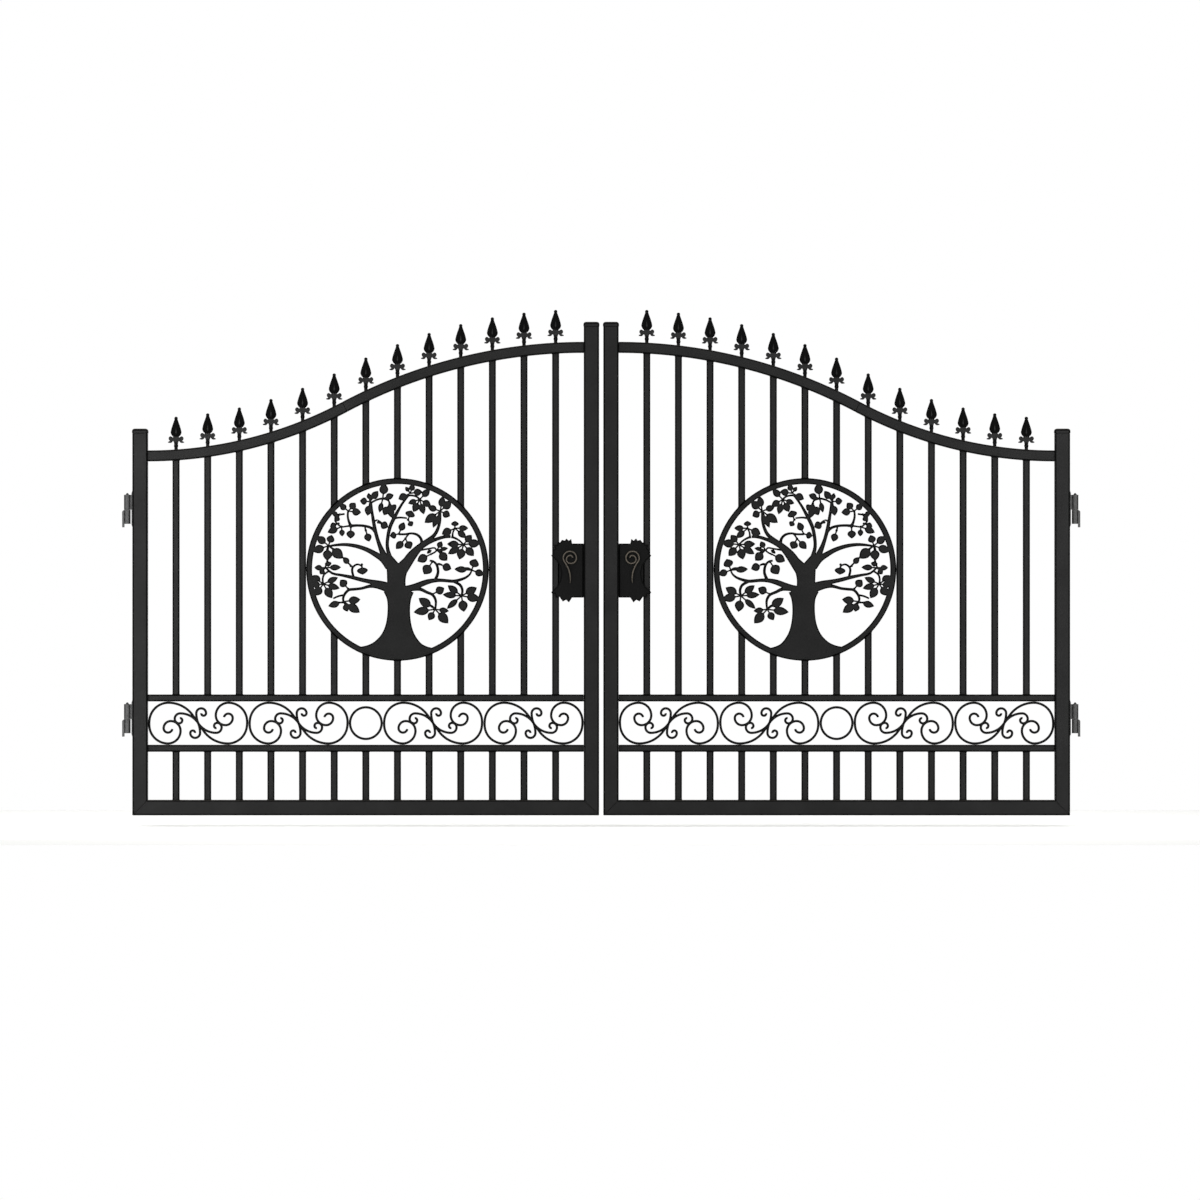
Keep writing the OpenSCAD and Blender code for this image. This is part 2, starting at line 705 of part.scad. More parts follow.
// The first bend is tangent to the straight stretch from the middle and to the loop at its lowest point
lead_r = (pow(loop_x, 2) + pow(loop_r, 2) - pow(scroll_straight, 2)) / (2 * loop_r);
lead_heading = atan2(lead_r - loop_r, loop_x) - asin(lead_r / norm([loop_x, lead_r - loop_r]));

module scroll_outline() {
    lead_end = scroll_straight * [cos(lead_heading), sin(lead_heading)];
    lead = [[lead_r, -lead_heading]];
    loop = arc_chain(lead_end, lead_heading, concat(lead, scaled_arcs(loop_arcs, loop_r)));
    inner = arc_chain([0, 0], inner_heading, scaled_arcs(inner_arcs, loop_r));
    hook = arc_chain([0, 0], hook_heading, scaled_arcs(hook_arcs, loop_r));
    offset(delta = -weld_fillet)
        offset(delta = weld_fillet)
            for (half = [concat([[0, 0]], loop), inner, hook]) {
                path = [for (p = both_ways(half)) [p[0] * scroll_fit[0], p[1] * scroll_fit[1]]];
                polygon(even_band(path, scroll_bar));
            }
}

module frieze_scrolls() {
    color(black)
        for (i = [0 : 3])
            translate([
                frame_size + (i + 0.5) * scroll_cell + (i < 2 ? 0 : frieze_ring_d), 0, frieze_mid_z
            ])
                upright(scroll_depth)
                    scroll_outline();
}

module frieze_ring() {
    color(black)
        translate([leaf_w / 2, 0, frieze_mid_z])
            upright(scroll_depth)
                difference() {
                    circle(d = frieze_ring_d, $fn = 96);
                    circle(d = frieze_ring_d - 2 * scroll_bar, $fn = 96);
                }
}

// Lock plate
lock_back = -picket_size / 2 - weld_gap;

module at_lock(y) {
    translate([leaf_w - frame_size - weld_gap, y, lock_z])
        children();
}

module lock_plate() {
    lug_x = picket_size + 2 * weld_gap - picket_pitch;
    color(black) {
        at_lock(lock_back - lock_t / 2)
            upright(lock_t)
                scale([lock_w / drawn_lock[0], lock_h / drawn_lock[1]])
                    polygon(lock_points);
        at_lock(lock_back - lock_t / 2)
            translate([lug_x, 0, lock_lug_z - lock_lug_h / 2])
                cube([-lock_lug_share * lock_w - lug_x, picket_size / 2, lock_lug_h]);
    }
}

// Rod of even sides along a path in the plane of the leaf, with one of them on the plate
module rod(path, d) {
    sides = rod_sides;
    points = [for (i = [0 : len(path) - 1]) let (n = path_normal(path, i))
        each [for (k = [0 : sides - 1]) let (a = (k + 0.5) * 360 / sides)
            [path[i][0] + d / 2 * cos(a) * n[0], d / 2 * sin(a), path[i][1] + d / 2 * cos(a) * n[1]]]];
    walls = [for (i = [0 : len(path) - 2], k = [0 : sides - 1])
        let (a = sides * i + k, b = sides * i + (k + 1) % sides)
        each [[a, b, a + sides], [b, b + sides, a + sides]]];
    first = [for (k = [sides - 1 : -1 : 0]) k];
    final = [for (k = [0 : sides - 1]) sides * (len(path) - 1) + k];
    polyhedron(points, concat([first], walls, [final]));
}

module lock_plate_curl() {
    flat = curl_d / 2 * cos(180 / rod_sides);
    color(black)
        at_lock(lock_back - lock_t - weld_gap - flat)
            rod(arc_chain(curl_start, curl_heading, curl_arcs), curl_d);
}

// Hinges, about the pin's axis and the parting line between the two barrels
module at_hinge(z) {
    translate([-pin_offset, 0, z])
        children();
}

module hinge_gate_half(z) {
    color(black)
        at_hinge(z) {
            difference() {
                union() {
                    cylinder(r = barrel_r, h = upper_barrel_h, $fn = 48);
                    translate([0, -hinge_web_w / 2, 0])
                        cube([pin_offset - stile_plate_t / 2, hinge_web_w, upper_barrel_h]);
                    translate([pin_offset - weld_gap, 0, 0])
                        upright(stile_plate_w)
                            polygon([
                                [0, -stile_plate_foot], [0, stile_plate_top],
                                [-stile_plate_t, stile_plate_top - stile_plate_taper],
                                [-stile_plate_t, stile_plate_taper - stile_plate_foot]
                            ]);
                }
                translate([0, 0, -barrel_gap])
                    cylinder(r = pin_r + pin_play, h = upper_barrel_h + 2 * barrel_gap, $fn = 48);
            }
        }
}

module hinge_post_half(z) {
    inner_face = barrel_overlap - barrel_r;
    outer_face = inner_face - post_plate_t;
    color(black)
        at_hinge(z) {
            translate([0, 0, -barrel_gap - lower_barrel_h])
                cylinder(r = barrel_r, h = lower_barrel_h, $fn = 48);
            rotate_extrude($fn = 48)
                polygon([
                    [0, -lower_barrel_h / 2], [pin_r, -lower_barrel_h / 2],
                    [pin_r, upper_barrel_h + barrel_gap], [pin_r / 3, upper_barrel_h + pin_head],
                    [0, upper_barrel_h + pin_head]
                ]);
            upright(post_plate_w)
                polygon([
                    [inner_face, -post_plate_top], [outer_face + post_plate_bevel, -post_plate_top],
                    [outer_face, -post_plate_top - post_plate_bevel], [outer_face, -post_plate_foot],
                    [inner_face, -post_plate_foot]
                ]);
            translate([inner_face - post_plate_t / 2, -hinge_web_w / 2, -barrel_gap - lower_barrel_h])
                cube([-inner_face, hinge_web_w, lower_barrel_h - post_plate_bevel]);
        }
}

module upper_hinge_gate_half() {
    hinge_gate_half(upper_hinge_z);
}

module lower_hinge_gate_half() {
    hinge_gate_half(lower_hinge_z);
}

module upper_hinge_post_half() {
    hinge_post_half(upper_hinge_z);
}

module lower_hinge_post_half() {
    hinge_post_half(lower_hinge_z);
}

// The left leaf stands in place, and the right leaf is its mirror image
module on_left() {
    translate([post_face, 0, -mount_z])
        children();
}

module on_right() {
    translate([2 * gate_middle, 0, 0])
        mirror([1, 0, 0])
            on_left()
                children();
}

on_left() hinge_stile();  // left_hinge_stile
on_left() hinge_stile_cap();  // left_hinge_stile_cap
on_left() meeting_stile();  // left_meeting_stile
on_left() meeting_stile_cap();  // left_meeting_stile_cap
on_left() bottom_rail();  // left_bottom_rail
on_left() top_rail_lower_sweep();  // left_top_rail_lower_sweep
on_left() top_rail_upper_sweep();  // left_top_rail_upper_sweep
on_left() frieze_upper_rail();  // left_frieze_upper_rail
on_left() frieze_lower_rail();  // left_frieze_lower_rail
on_left() long_pickets();  // left_long_pickets
on_left() short_pickets();  // left_short_pickets
on_left() spear_finials();  // left_spear_finials
on_left() tree_medallion();  // left_tree_medallion
on_left() frieze_scrolls();  // left_frieze_scrolls
on_left() frieze_ring();  // left_frieze_ring
on_left() lock_plate();  // left_lock_plate
on_left() lock_plate_curl();  // left_lock_plate_curl
on_left() upper_hinge_gate_half();  // left_upper_hinge_gate_half
on_left() lower_hinge_gate_half();  // left_lower_hinge_gate_half
on_left() upper_hinge_post_half();  // left_upper_hinge_post_half
on_left() lower_hinge_post_half();  // left_lower_hinge_post_half
on_right() hinge_stile();  // right_hinge_stile
on_right() hinge_stile_cap();  // right_hinge_stile_cap
on_right() meeting_stile();  // right_meeting_stile
on_right() meeting_stile_cap();  // right_meeting_stile_cap
on_right() bottom_rail();  // right_bottom_rail
on_right() top_rail_lower_sweep();  // right_top_rail_lower_sweep
on_right() top_rail_upper_sweep();  // right_top_rail_upper_sweep
on_right() frieze_upper_rail();  // right_frieze_upper_rail
on_right() frieze_lower_rail();  // right_frieze_lower_rail
on_right() long_pickets();  // right_long_pickets
on_right() short_pickets();  // right_short_pickets
on_right() spear_finials();  // right_spear_finials
on_right() tree_medallion();  // right_tree_medallion
on_right() frieze_scrolls();  // right_frieze_scrolls
on_right() frieze_ring();  // right_frieze_ring
on_right() lock_plate();  // right_lock_plate
on_right() lock_plate_curl();  // right_lock_plate_curl
on_right() upper_hinge_gate_half();  // right_upper_hinge_gate_half
on_right() lower_hinge_gate_half();  // right_lower_hinge_gate_half
on_right() upper_hinge_post_half();  // right_upper_hinge_post_half
on_right() lower_hinge_post_half();  // right_lower_hinge_post_half
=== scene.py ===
import math
from functools import partial

import bmesh
import bpy
import numpy as np
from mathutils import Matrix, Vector
from mathutils.geometry import delaunay_2d_cdt


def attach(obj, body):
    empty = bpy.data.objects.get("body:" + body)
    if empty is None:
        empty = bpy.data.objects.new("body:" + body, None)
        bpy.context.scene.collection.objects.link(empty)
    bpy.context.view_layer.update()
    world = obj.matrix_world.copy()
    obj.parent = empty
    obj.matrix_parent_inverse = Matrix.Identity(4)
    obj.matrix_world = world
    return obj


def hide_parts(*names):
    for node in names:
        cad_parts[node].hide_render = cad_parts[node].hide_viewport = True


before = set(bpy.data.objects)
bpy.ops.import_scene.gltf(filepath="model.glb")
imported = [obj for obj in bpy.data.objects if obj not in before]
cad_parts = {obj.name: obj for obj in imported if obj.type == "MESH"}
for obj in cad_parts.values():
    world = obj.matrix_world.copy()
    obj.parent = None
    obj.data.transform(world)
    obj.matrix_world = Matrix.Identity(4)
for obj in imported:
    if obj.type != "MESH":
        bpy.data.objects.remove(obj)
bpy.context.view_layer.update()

# Stiles: square steel tube, standing at both ends of a leaf, cut at 45 degrees at the foot.
# Rolled tube has round corners, and each end stops in a shallow groove, its weld ground off.
# Sizes are in mm: x from the hinge stile's outer face, y to the back, z from the leaf's foot.
MM = 0.001
POST_FACE = 47
MOUNT_Z = 394
GATE_W = 4361
LEAF_W = 2124
FRAME = 70
TUBE_R = 9
HINGE_STILE_H = 1739
MEETING_STILE_H = 2225
GROOVE = 1.2
SMOOTH_UNDER = math.radians(38)
SAME_POINT = 1e-6


def tone(code):
    """Linear colour of an sRGB hex code: each channel through the sRGB curve."""
    c = np.array([int(code[i:i + 2], 16) for i in (1, 3, 5)]) / 255
    return (*np.where(c <= 0.04045, c / 12.92, ((c + 0.055) / 1.055) ** 2.4), 1)


def add_node(tree, kind, inputs=(), **settings):
    """A new node with its settings, and each input set to a value or linked from an output."""
    node = tree.nodes.new(kind)
    for key, value in settings.items():
        setattr(node, key, value)
    for key, value in dict(inputs).items():
        if isinstance(value, bpy.types.NodeSocket):
            tree.links.new(value, node.inputs[key])
        else:
            node.inputs[key].default_value = value
    return node


COAT_GLOSS = 0.06
# Painted shade: the black that corners, slopes and the flanks of round rods are painted with.
PAINTED_SHADE_BLACK = "#020202"
DUST_GREY = "#57534d"
DUST_SHARE = 0.5
DRIFT_MM = 140
DUST_MM = 22
CLOUD = (0.3, 0.7)
SHEEN = (-0.05, 0.06)
# A normal's share along y where a flat face ends and the painted shade over its corner is full
# black, the same where a side face ends, and its share along z where dust starts and is thickest.
FLAT_TO_PAINTED_SHADE = (0.998, 0.975)
SIDE_TO_PAINTED_SHADE = (0.02, 0.12)
LEVEL_FACE = (0.5, 1)
RANGE = ("Value", "From Min", "From Max", "To Min", "To Max")


def coated_steel(name, dark, light, dents_mm, dents, rough=0.42, peel_mm=1.6, peel=0.05,
                 painted_shade_turn=FLAT_TO_PAINTED_SHADE):
    """Powder coat on steel. The eye sees a charcoal satin skin with painted shade that turns it
    black over corners and slopes, wherever the normal turns between facing front or back and facing
    aside, with a slow drift of tone and gloss, the dents of the metal below it, and a little dust
    where a face looks up. Its orange peel has its real size, so it shows only close to."""
    mat = bpy.data.materials.new(name)
    mat.use_nodes = True
    tree = mat.node_tree
    shader = tree.nodes["Principled BSDF"]
    shader.inputs["Specular IOR Level"].default_value = COAT_GLOSS
    coords = add_node(tree, "ShaderNodeTexCoord").outputs
    drift, cloud, dented, peeled = [
        add_node(tree, "ShaderNodeTexNoise", {"Vector": coords["Object"], "Scale": 1 / (size * MM),
                                              "Detail": detail}).outputs["Fac"]
        for size, detail in ((DRIFT_MM, 4), (DUST_MM, 5), (dents_mm, 2), (peel_mm, 2))]
    along_y = add_node(tree, "ShaderNodeSeparateXYZ", {"Vector": coords["Normal"]}).outputs["Y"]
    facing = add_node(tree, "ShaderNodeMath", {0: along_y}, operation="ABSOLUTE").outputs["Value"]
    normal = add_node(tree, "ShaderNodeNewGeometry").outputs["Normal"]
    up = add_node(tree, "ShaderNodeSeparateXYZ", {"Vector": normal}).outputs["Z"]
    # Painted shade: black is mixed into the colour where the object-space normal is turned between
    # facing front or back and facing aside, so corners, slopes and rounded flanks look shaded.
    shade_off_flat, shade_off_side, looks_up, tint, sheen = [
        add_node(tree, "ShaderNodeMapRange", zip(RANGE, row)).outputs["Result"]
        for row in ((facing, *painted_shade_turn, 0, 1), (facing, *SIDE_TO_PAINTED_SHADE, 0, 1),
                    (up, *LEVEL_FACE, 0, DUST_SHARE), (drift, *CLOUD, 0, 1),
                    (drift, *CLOUD, rough + SHEEN[0], rough + SHEEN[1]))]
    painted_shade, dust = [
        add_node(tree, "ShaderNodeMath", {0: one, 1: other}, operation="MULTIPLY").outputs["Value"]
        for one, other in ((shade_off_flat, shade_off_side), (looks_up, cloud))]
    colour = tone(dark)
    for share, over in ((tint, light), (painted_shade, PAINTED_SHADE_BLACK), (dust, DUST_GREY)):
        colour = add_node(tree, "ShaderNodeMix", {"Factor": share, "A": colour, "B": tone(over)},
                          data_type="RGBA").outputs["Result"]
    relief = add_node(tree, "ShaderNodeBump", {
        "Height": dented, "Distance": dents * MM, "Strength": 1}).outputs["Normal"]
    relief = add_node(tree, "ShaderNodeBump", {
        "Height": peeled, "Distance": peel * MM, "Strength": 1, "Normal": relief}).outputs["Normal"]
    for socket, source in (("Base Color", colour), ("Roughness", sheen), ("Normal", relief)):
        tree.links.new(source, shader.inputs[socket])
    return mat


def tube_profile(width, depth, r, steps=7):
    """Rectangle with round corners: per quarter turn, the corner's centre plus r times the unit
    circle."""
    turn = np.radians(90 * np.arange(4)[:, None] + np.linspace(0, 90, steps + 1))
    mid = np.radians(90 * np.arange(4)[:, None] + 45)
    x = np.sign(np.cos(mid)) * (width / 2 - r) + r * np.cos(turn)
    y = np.sign(np.sin(mid)) * (depth / 2 - r) + r * np.sin(turn)
    return np.column_stack([x.ravel(), y.ravel()])


def tube(x, size, r, foot, head):
    """Upright square tube at x: rounded rings from foot(x) to head(x), drawn in by the groove at
    both ends."""
    rings = []
    for inset, end, lift in ((GROOVE, foot, 0), (0, foot, GROOVE),
                             (0, head, -GROOVE), (GROOVE, head, 0)):
        p = tube_profile(size - 2 * inset, size - 2 * inset, r)
        rings.append(np.column_stack([x + p[:, 0], p[:, 1], end(x + p[:, 0]) + lift]))
    return np.stack(rings)


def level(z):
    """The same height at every x."""
    return lambda x: np.full_like(x, z)


def finish_piece(mesh, side, mat, node, body=None, smooth_under=SMOOTH_UNDER):
    """Turns a mesh's faces outwards, smooths it between its edges, coats it and hangs it on its
    leaf or body."""
    bm = bmesh.new()
    bm.from_mesh(mesh)
    bmesh.ops.remove_doubles(bm, verts=bm.verts, dist=SAME_POINT)
    bmesh.ops.recalc_face_normals(bm, faces=bm.faces)
    bm.to_mesh(mesh)
    bm.free()
    mesh.shade_smooth()
    mesh.set_sharp_from_angle(angle=smooth_under)
    mesh.materials.append(mat)
    obj = bpy.data.objects.new(mesh.name, mesh)
    bpy.context.scene.collection.objects.link(obj)
    obj.modifiers.new("flat_faces", "WEIGHTED_NORMAL").keep_sharp = True
    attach(obj, body or f"{side}_leaf")
    if node:
        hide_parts(f"{side}_{node}")


def add_both(name, node, points, faces, mat, smooth_under=SMOOTH_UNDER):
    """A mesh on the left leaf, its points in mm from the gate's origin, and its mirror image about
    the gate's middle on the right leaf."""
    for side, flip, shift in (("left", 1, 0), ("right", -1, GATE_W)):
        mesh = bpy.data.meshes.new(f"{side}_{name}")
        mesh.from_pydata((points * (flip, 1, 1) + (shift, 0, 0)) * MM, [], faces)
        finish_piece(mesh, side, mat, node, smooth_under=smooth_under)


def add_pair(name, node, grids, mat, loop=False):
    """A mesh on each leaf from grids of points. Quads join each ring of a grid to the next, and
    its end rings are filled, or joined to each other in a loop."""
    quads, caps, start = [], [], 0
    for grid in grids:
        rings = start + np.arange(grid.shape[0] * grid.shape[1]).reshape(grid.shape[:2])
        start += rings.size
        if loop:
            rings = np.vstack([rings, rings[:1]])
        else:
            caps += [rings[0, ::-1].tolist(), rings[-1].tolist()]
        a, b = rings[:-1], rings[1:]
        quads.append(np.stack([a, np.roll(a, -1, 1), np.roll(b, -1, 1), b], -1).reshape(-1, 4))
    points = np.concatenate([grid.reshape(-1, 3) for grid in grids]) + (POST_FACE, 0, -MOUNT_Z)
    add_both(name, node, points, np.concatenate(quads).tolist() + caps, mat)


tube_coat = coated_steel("black_powder_coat_on_tube", "#202020", "#252525", dents_mm=60, dents=0.1)
hinge_stile = tube(FRAME / 2, FRAME, TUBE_R, lambda x: x, level(HINGE_STILE_H))
meeting_stile = tube(LEAF_W - FRAME / 2, FRAME, TUBE_R, lambda x: LEAF_W - x,
                     level(MEETING_STILE_H))
add_pair("hinge_stile_tube", "hinge_stile", [hinge_stile], tube_coat)
add_pair("meeting_stile_tube", "meeting_stile", [meeting_stile], tube_coat)

# Stile caps: pressed steel lids over the tube ends, a little wider than the tube, round on top.
# Each is a stack of rounded squares that draw in along a quarter circle.
CAP_W = 73
CAP_H = 21
CAP_ROUND = 12
CAP_STEPS = 8
CAP_GAP = 0.3


def cap(x, z):
    """Rounded squares whose half-width loses, and whose height gains, what a quarter circle
    gives."""
    t = np.radians(np.linspace(0, 90, CAP_STEPS))
    half = CAP_W / 2 - np.concatenate([[GROOVE, 0], CAP_ROUND * (1 - np.cos(t))])
    rise = np.concatenate([[CAP_GAP, CAP_GAP + GROOVE], CAP_H - CAP_ROUND + CAP_ROUND * np.sin(t)])
    rings = [np.column_stack([x + p[:, 0], p[:, 1], np.full(len(p), z + h)])
             for p, h in zip([tube_profile(2 * w, 2 * w, TUBE_R) for w in half], rise)]
    return np.stack(rings)


add_pair("hinge_stile_lid", "hinge_stile_cap", [cap(FRAME / 2, HINGE_STILE_H)], tube_coat)
add_pair("meeting_stile_lid", "meeting_stile_cap",
         [cap(LEAF_W - FRAME / 2, MEETING_STILE_H)], tube_coat)

# Bottom rail: the stiles' tube, lying between them and mitred into both.
# It is the same tube as a stile's with height and length changed over.
MITRE_GAP = 0.4
bottom_rail = tube(FRAME / 2, FRAME, TUBE_R, lambda z: z + MITRE_GAP,
                   lambda z: LEAF_W - z - MITRE_GAP)
add_pair("bottom_rail_tube", "bottom_rail", [bottom_rail[..., [2, 1, 0]]], tube_coat)

# Top rail: lighter square tube, rolled to two arcs that meet in a butt seam.
# Each is the tube's rounded square carried along its arc, drawn in at the ends like other tubes.
INNER_W = LEAF_W - 2 * FRAME
TOP_RAIL = 50
TOP_RAIL_R = 8
RAIL_STEPS = 72
SEAM_RUN = 896
LOW_Z = HINGE_STILE_H - 103
HIGH_Z = MEETING_STILE_H - 95
RAIL_TURN = 2 * math.atan((HIGH_Z - LOW_Z) / INNER_W)
LOW_R = SEAM_RUN / math.sin(RAIL_TURN)
HIGH_R = (INNER_W - SEAM_RUN) / math.sin(RAIL_TURN)
LOW_CENTRE = np.array([FRAME, LOW_Z + LOW_R])
HIGH_CENTRE = np.array([LEAF_W - FRAME, HIGH_Z - HIGH_R])


def sweep(path, profile, scale=1.0, y=0.0, closed=False):
    """A profile carried along a path of x and z: each ring is the path's point, plus the
    profile's first number along the path's normal and its second along y, both times the scale
    there."""
    around = np.vstack([path[-1:], path, path[:1]]) if closed else path
    along = np.gradient(around, axis=0)[1:-1] if closed else np.gradient(path, axis=0)
    along /= np.linalg.norm(along, axis=1, keepdims=True)
    scale = np.broadcast_to(np.asarray(scale, float).reshape(-1, 1), (len(path), 1))
    across, depth = scale * profile[:, 0], scale * profile[:, 1]
    x = path[:, :1] - along[:, 1:] * across
    z = path[:, 1:] + along[:, :1] * across
    return np.stack([x, y + depth, z], -1)


def arc(centre, r, start, end, count):
    """Points of a circle's arc: the centre plus r times the unit circle from start to end, in
    degrees."""
    t = np.radians(np.linspace(start, end, count))
    return centre + r * np.column_stack([np.cos(t), np.sin(t)])


def rolled_rail(centre, r, start, end):
    """An arc of rounded tube whose two end rings draw in by the groove over the groove's own
    length."""
    step = math.degrees(GROOVE / r) * np.sign(end - start)
    path = np.vstack([arc(centre, r, start, start, 1),
                      arc(centre, r, start + step, end - step, RAIL_STEPS),
                      arc(centre, r, end, end, 1)])
    scale = np.ones(len(path))
    scale[[0, -1]] = 1 - 2 * GROOVE / TOP_RAIL
    return sweep(path, tube_profile(TOP_RAIL, TOP_RAIL, TOP_RAIL_R), scale)


turn = math.degrees(RAIL_TURN)
add_pair("top_rail_lower_tube", "top_rail_lower_sweep",
         [rolled_rail(LOW_CENTRE, LOW_R, 270, 270 + turn)], tube_coat)
add_pair("top_rail_upper_tube", "top_rail_upper_sweep",
         [rolled_rail(HIGH_CENTRE, HIGH_R, 90 + turn, 90)], tube_coat)

# Frieze rails: small square tube between the stiles, under and over the scrolls.
# They are made like the bottom rail, with square ends that stop just short of the stiles.
PICKET = 32
PICKET_R = 8
FRIEZE_Z = 289
FRIEZE_H = 197
FRIEZE_TOP = FRIEZE_Z + 2 * PICKET + FRIEZE_H
FIT_GAP = 0.2
for name, z in (("frieze_lower_rail", FRIEZE_Z),
                ("frieze_upper_rail", FRIEZE_Z + PICKET + FRIEZE_H)):
    rail = tube(z + PICKET / 2, PICKET, PICKET_R, level(FRAME + FIT_GAP),
                level(LEAF_W - FRAME - FIT_GAP))
    add_pair(f"{name}_tube", name, [rail[..., [2, 1, 0]]], tube_coat)

# Pickets: the frieze rails' tube, cut to the top rail's curve, and to the medallion's ring where
# it stands. Their ends follow those circles, and each end has a thin fillet weld all round.
PICKETS = 13
PITCH = (INNER_W - PICKETS * PICKET) / (PICKETS + 1) + PICKET
RING_PICKET = 8
RING_REACH = 3
RING_Z = 1119
RING_R = RING_REACH * PITCH - PICKET / 2 - FIT_GAP
WELD_R = 2.2
picket_x = FRAME + PITCH * np.arange(1, PICKETS + 1) - PICKET / 2
ring_x = picket_x[RING_PICKET - 1]


def rail_face(x, side):
    """Height of the top rail's upper face, or of its under face for side -1: its circle at x."""
    half = side * TOP_RAIL / 2
    low = LOW_CENTRE[1] - np.sqrt((LOW_R - half) ** 2 - (x - LOW_CENTRE[0]) ** 2)
    high = HIGH_CENTRE[1] + np.sqrt((HIGH_R + half) ** 2 - (HIGH_CENTRE[0] - x) ** 2)
    return np.where(x < FRAME + SEAM_RUN, low, high)


def ring_face(x, side):
    """Height of the medallion's ring at x, over its middle for side 1, under it for side -1."""
    return RING_Z + side * np.sqrt(np.maximum(RING_R ** 2 - (x - ring_x) ** 2, 0))


def once_round(count):
    """Even angles of one turn, the last left out because it is the first again."""
    return np.linspace(0, 2 * np.pi, count + 1)[:-1]


def weld(x, size, r, end):
    """A round bead about a tube's end: the tube's outline at end(x), plus the bead's circle in
    and out."""
    p = tube_profile(size, size, r, steps=3)
    out = (p - np.roll(p, -1, 0))[:, ::-1] * (-1, 1) + (np.roll(p, 1, 0) - p)[:, ::-1] * (-1, 1)
    out /= np.linalg.norm(out, axis=1, keepdims=True)
    t = once_round(6)
    x_y = p[:, None, :] + WELD_R * np.cos(t)[:, None] * out[:, None, :]
    z = end(x + p[:, 0])[:, None] + WELD_R * np.sin(t)
    return np.dstack([x + x_y[..., 0], x_y[..., 1], z])


under_rail = partial(rail_face, side=-1)
ring_foot, ring_head = partial(ring_face, side=-1), partial(ring_face, side=1)
long_tubes, welds = [], []
for number, x in enumerate(picket_x, 1):
    spans = [(level(FRIEZE_TOP), under_rail)]
    if abs(number - RING_PICKET) < RING_REACH:
        spans = [(level(FRIEZE_TOP), ring_foot), (ring_head, under_rail)]
    long_tubes += [tube(x, PICKET, PICKET_R, foot, head) for foot, head in spans]
    welds += [weld(x, PICKET, PICKET_R, end) for span in spans for end in span]
short_tubes = [tube(x, PICKET, PICKET_R, level(FRAME), level(FRIEZE_Z)) for x in picket_x]
welds += [weld(x, PICKET, PICKET_R, level(z)) for x in picket_x for z in (FRAME, FRIEZE_Z)]
add_pair("long_picket_tubes", "long_pickets", long_tubes, tube_coat)
add_pair("short_picket_tubes", "short_pickets", short_tubes, tube_coat)
weld_coat = coated_steel("black_powder_coat_on_weld", "#101010", "#161616", dents_mm=4, dents=0.6,
                         rough=0.48)
add_pair("picket_welds", None, welds, weld_coat, loop=True)

# Finials: cast spears with a flat on the ridge, two curled leaves, a collared stem and a ball tip.
# The blade is a stack of six-sided sections, the leaves a bevelled outline, the rest is turned.
# Rows are height and half-width (blade), x, height and bevel (leaves), radius and height (stem).
BLADE = np.array([[53, 8], [60, 15.5], [67, 21.3], [77, 24.8], [87, 23.2], [98, 20.4],
                  [110, 16.5], [122, 12.2], [133, 8.4], [141, 5.5]])
BLADE_SLOPE = 0.5
BLADE_FLAT_Y = 9.6
BLADE_RIDGE = 0.4
LEAF_EDGE = np.array([
    [0, 63, 2], [9, 60, 3], [15, 55, 3], [20, 58, 3.6], [26, 60, 4], [32, 56, 4], [34, 49, 4],
    [31, 42, 2.6], [28, 39, 1.5], [34, 36, 1.2], [37, 34, 0.7], [36, 31, 0.9], [31, 30, 1.8],
    [25, 29.5, 2.4], [19, 32, 2.6], [14, 38, 3], [11, 35, 3], [9, 28, 3], [7.5, 21, 2], [0, 21, 1]])
LEAF_T = 11
LEAF_BEVEL = 1.5
STEM = np.array([[8, 0], [8, 10], [9.4, 13], [10, 17], [9.4, 20.5], [8, 23], [7, 33]])
BALL_R = 8
BALL_SPAN = (-0.46, 0.497)
BALL_STEPS = 12
FINIAL_H = 149.5


def smooth_line(points, steps=4):
    """Smooth curve through points: Catmull-Rom weights of the four points about each step."""
    t = (np.arange((len(points) - 1) * steps) % steps / steps)[:, None]
    i = np.arange((len(points) - 1) * steps) // steps
    a, b = points[np.maximum(i - 1, 0)], points[i]
    c, d = points[i + 1], points[np.minimum(i + 2, len(points) - 1)]
    line = (b + (c - a) * t / 2 + (2 * a - 5 * b + 4 * c - d) * t ** 2 / 2
            + (3 * b - a - 3 * c + d) * t ** 3 / 2)
    return np.vstack([line, points[-1:]])


